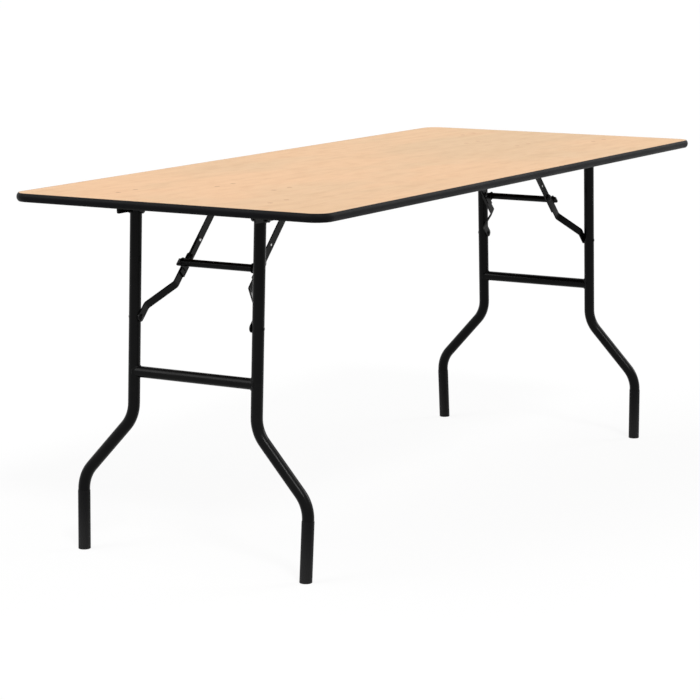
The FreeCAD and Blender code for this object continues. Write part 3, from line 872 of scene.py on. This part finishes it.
@dataclass
class FoldingBraces:
    """The two folding braces of one end and their release bar."""

    end: End
    bead_radius: float = 0.0012
    bead_ripples: int = 26

    def build(self) -> None:
        """Dress the straps, plates, bar and rivets, and weld the bar to its plates."""
        end = self.end.value
        for side in Side:
            for piece in ("lower_strap", "upper_strap", "lock_plate"):
                dress_node(f"{end}_{side.value}_{piece}", Slot.COAT)
            self.weld(side)
        for piece in ("release_bar", "lower_knuckle_rivets", "upper_knuckle_rivets"):
            dress_node(f"{end}_{piece}", Slot.COAT)
        dress_node(f"{end}_lock_rivets", Slot.BRIGHT)

    def weld(self, side: Side) -> None:
        """Lay the weld bead where the release bar passes one lock plate.

        Args:
            side: Side of the plate.
        """
        end = self.end.value
        low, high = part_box(f"{end}_release_bar")
        centre = (low + high) / 2
        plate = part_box(f"{end}_{side.value}_lock_plate")
        inner_face = min(abs(corner.y) for corner in plate)
        bead = WeldBead((high.z - low.z) / 2, self.bead_radius, self.bead_ripples)
        shape = bead.ring()
        set_down(shape, Vector((centre.x, side.sign * inner_face, centre.z)), side.outwards)
        make_piece(shape, f"{end}_{side.value}_bar_weld", f"{end}_upper_brace", Slot.COAT)


@dataclass
class Underside:
    """Brackets and fasteners under the board."""

    brackets: Iterable[str] = ("leg_bracket", "brace_bracket")
    plain_fasteners: Iterable[str] = (
        "leg_bracket_screws",
        "brace_bracket_screws",
        "leg_pivot_washers",
    )
    bolt_head: HexForm = HexForm(flats=0.013, height=0.0053)
    bolt_radius: float = 0.004
    bolt_length: float = 0.0382
    bolt_pitch: float = 0.00125
    bolt_ridges: int = 8
    pivot_nut: HexForm = HexForm(flats=0.013, height=0.006)
    pivot_nut_face: float = 0.1394
    screw_nut: HexForm = HexForm(flats=0.010, height=0.005)
    screw_radius: float = 0.003
    bracket_thickness: float = 0.003
    leg_screw_places: Iterable[tuple[float, float]] = ((0.7351, 0.1861), (0.7971, 0.1861))
    brace_screw_places: Iterable[tuple[float, float]] = ((0.537, 0.071), (0.599, 0.071))

    def build(self) -> None:
        """Dress the brackets and plain fasteners, and turn the bolts and nuts."""
        for end in End:
            for side in Side:
                for bracket in self.brackets:
                    dress_node(f"{end.value}_{side.value}_{bracket}", Slot.COAT)
        dress_node("brace_bracket_rivets", Slot.COAT)
        for node in self.plain_fasteners:
            dress_node(node, Slot.FASTENER)
        self.turn_pivots()
        self.turn_screw_nuts("leg_bracket_nuts", self.leg_screw_places)
        self.turn_screw_nuts("brace_bracket_nuts", self.brace_screw_places)

    def turn_pivots(self) -> None:
        """Make the four pivot bolts and their nuts."""
        head_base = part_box("leg_pivot_bolts")[1].y - self.bolt_head.height
        bolts = []
        nuts = []
        for end in End:
            pivot = joint_place(f"{end.value}_leg_fold")
            for side in Side:
                bolt = self.bolt_head.bolt(self.bolt_radius, self.bolt_length, self.bolt_pitch,
                                           self.bolt_ridges)
                set_down(bolt, pivot + side.outwards * head_base, side.outwards)
                bolts.append(bolt)
                nut = self.pivot_nut.nut(self.bolt_radius)
                set_down(nut, pivot + side.outwards * self.pivot_nut_face, -side.outwards)
                nuts.append(nut)
        turned_bolts = make_piece(gather(bolts), "turned_pivot_bolts", TABLE_BODY, Slot.FASTENER)
        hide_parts("leg_pivot_bolts")
        turned_nuts = make_piece(gather(nuts), "turned_pivot_nuts", TABLE_BODY, Slot.FASTENER)
        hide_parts("leg_pivot_nuts")

    def turn_screw_nuts(self, node: str, places: Iterable[tuple[float, float]]) -> None:
        """Make the nuts under the flanges of one kind of bracket.

        Args:
            node: Node of the plain nuts that they replace.
            places: Distances of the screws of one bracket along and across the table.
        """
        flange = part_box("tabletop_board")[0].z - self.bracket_thickness
        nuts = []
        for along, across in places:
            for end in End:
                for side in Side:
                    nut = self.screw_nut.nut(self.screw_radius)
                    set_down(nut, Vector((end.sign * along, side.sign * across, flange)), -UP)
                    nuts.append(nut)
        turned_nuts = make_piece(gather(nuts), f"turned_{node}", TABLE_BODY, Slot.FASTENER)
        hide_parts(node)


@dataclass(frozen=True)
class Lamp:
    """A far, broad lamp that lights the whole table evenly, with its angles in degrees."""

    name: str
    bearing: float
    climb: float
    strength: float
    breadth: float

    def build(self) -> None:
        """Hang the lamp on its bearing from +X, at its climb above the floor."""
        light = bpy.data.lights.new(self.name, "SUN")
        light.energy = self.strength
        light.angle = math.radians(self.breadth)
        lamp = bpy.data.objects.new(self.name, light)
        lamp.rotation_euler = (0.0, math.radians(90.0 - self.climb), math.radians(self.bearing))
        bpy.context.scene.collection.objects.link(lamp)


@dataclass(frozen=True)
class Viewpoint:
    """Camera at the photographed angle, for a square picture."""

    name: str = "photo_camera"
    place: tuple[float, float, float] = (-5.0168, -2.8387, 1.3511)
    heading: float = math.radians(30.321)
    dip: float = math.radians(10.043)
    roll: float = math.radians(-0.055)
    lens: float = 128.67
    sensor: float = 36.0
    farthest: float = 200.0

    def build(self) -> None:
        """Set up the scene's camera."""
        camera = bpy.data.cameras.new(self.name)
        camera.lens = self.lens
        camera.sensor_width = self.sensor
        camera.clip_end = self.farthest
        level = math.cos(self.dip)
        ahead = Vector((level * math.cos(self.heading), level * math.sin(self.heading),
                        -math.sin(self.dip)))
        turn = ahead.to_track_quat("-Z", "Y").to_matrix() @ Matrix.Rotation(self.roll, 3, "Z")
        viewer = bpy.data.objects.new(self.name, camera)
        viewer.location = self.place
        viewer.rotation_euler = turn.to_euler()
        bpy.context.scene.collection.objects.link(viewer)
        bpy.context.scene.camera = viewer


def seen_share(tree: bpy.types.NodeTree) -> bpy.types.NodeSocket:
    """Mark the rays in which the studio itself is seen, directly, in gloss or through glass.

    Args:
        tree: Nodes of the floor or the sky.

    Returns:
        1 for those rays, and 0 for rays that only carry light to the table.
    """
    ray = tree.nodes.new("ShaderNodeLightPath").outputs
    seen = ray[SEEN_RAYS[0]]
    for kind in SEEN_RAYS[1:]:
        either = tree.nodes.new("ShaderNodeMath")
        either.operation = Sum.LARGER.value
        tree.links.new(seen, either.inputs[0])
        tree.links.new(ray[kind], either.inputs[1])
        seen = either.outputs["Value"]
    return seen


@dataclass
class Studio:
    """White floor, soft lamps and an even sky."""

    floor_name: str = "studio_floor"
    floor_radius: float = 80.0
    floor_sides: int = 96
    floor_drop: float = 0.0004
    floor_colour: Colour = (0.12, 0.12, 0.12)
    floor_glow: float = 0.89
    sky_light: float = 0.08
    sky_white: float = 1.0
    lamps: Iterable[Lamp] = (
        Lamp("key_lamp", bearing=118.0, climb=56.0, strength=0.78, breadth=52.0),
        Lamp("top_lamp", bearing=-105.0, climb=80.0, strength=0.55, breadth=90.0),
        Lamp("right_lamp", bearing=-36.0, climb=28.0, strength=0.85, breadth=26.0),
        Lamp("left_lamp", bearing=145.0, climb=34.0, strength=0.78, breadth=28.0),
        Lamp("front_lamp", bearing=-131.5, climb=46.8, strength=1.10, breadth=12.0),
    )

    def build(self) -> None:
        """Lay the floor, light the sky and hang the lamps."""
        self.lay_floor()
        self.light_sky()
        for lamp in self.lamps:
            lamp.build()
        bpy.context.scene.view_settings.view_transform = "Standard"

    def lay_floor(self) -> None:
        """Make the floor, which is white to look at and still takes shadows."""
        shape = bmesh.new()
        level = Matrix.Translation((0.0, 0.0, -self.floor_drop))
        bmesh.ops.create_circle(shape, cap_ends=True, segments=self.floor_sides,
                                radius=self.floor_radius, matrix=level)
        mesh = bpy.data.meshes.new(self.floor_name)
        shape.to_mesh(mesh)
        shape.free()
        wiring = Wiring(self.floor_name)
        seen = seen_share(wiring.tree)
        wiring.dress(
            Base_Color=self.floor_colour,
            Roughness=1.0,
            Specular_IOR_Level=0.0,
            Emission_Color=WHITE,
            Emission_Strength=wiring.sums(Sum.TIMES, seen, self.floor_glow),
        )
        mesh.materials.append(wiring.material)
        floor = bpy.data.objects.new(self.floor_name, mesh)
        bpy.context.scene.collection.objects.link(floor)

    def light_sky(self) -> None:
        """Make the sky white to look at and dimmer as a light."""
        world = bpy.data.worlds.new("studio_sky")
        world.use_nodes = True
        tree = world.node_tree
        sky = tree.nodes["Background"]
        sky.inputs["Color"].default_value = (*WHITE, 1.0)
        level = tree.nodes.new("ShaderNodeMapRange")
        level.inputs["To Min"].default_value = self.sky_light
        level.inputs["To Max"].default_value = self.sky_white
        tree.links.new(seen_share(tree), level.inputs["Value"])
        tree.links.new(level.outputs["Result"], sky.inputs["Strength"])
        bpy.context.scene.world = world


def main() -> None:
    """Dress and complete the table, then set up the studio round it."""
    logging.basicConfig(level=logging.INFO, format="%(message)s")
    Tabletop().build()
    Underside().build()
    for end in End:
        LegFrame(end).build()
        FoldingBraces(end).build()
    Studio().build()
    Viewpoint().build()


if __name__ == "__main__":
    main()
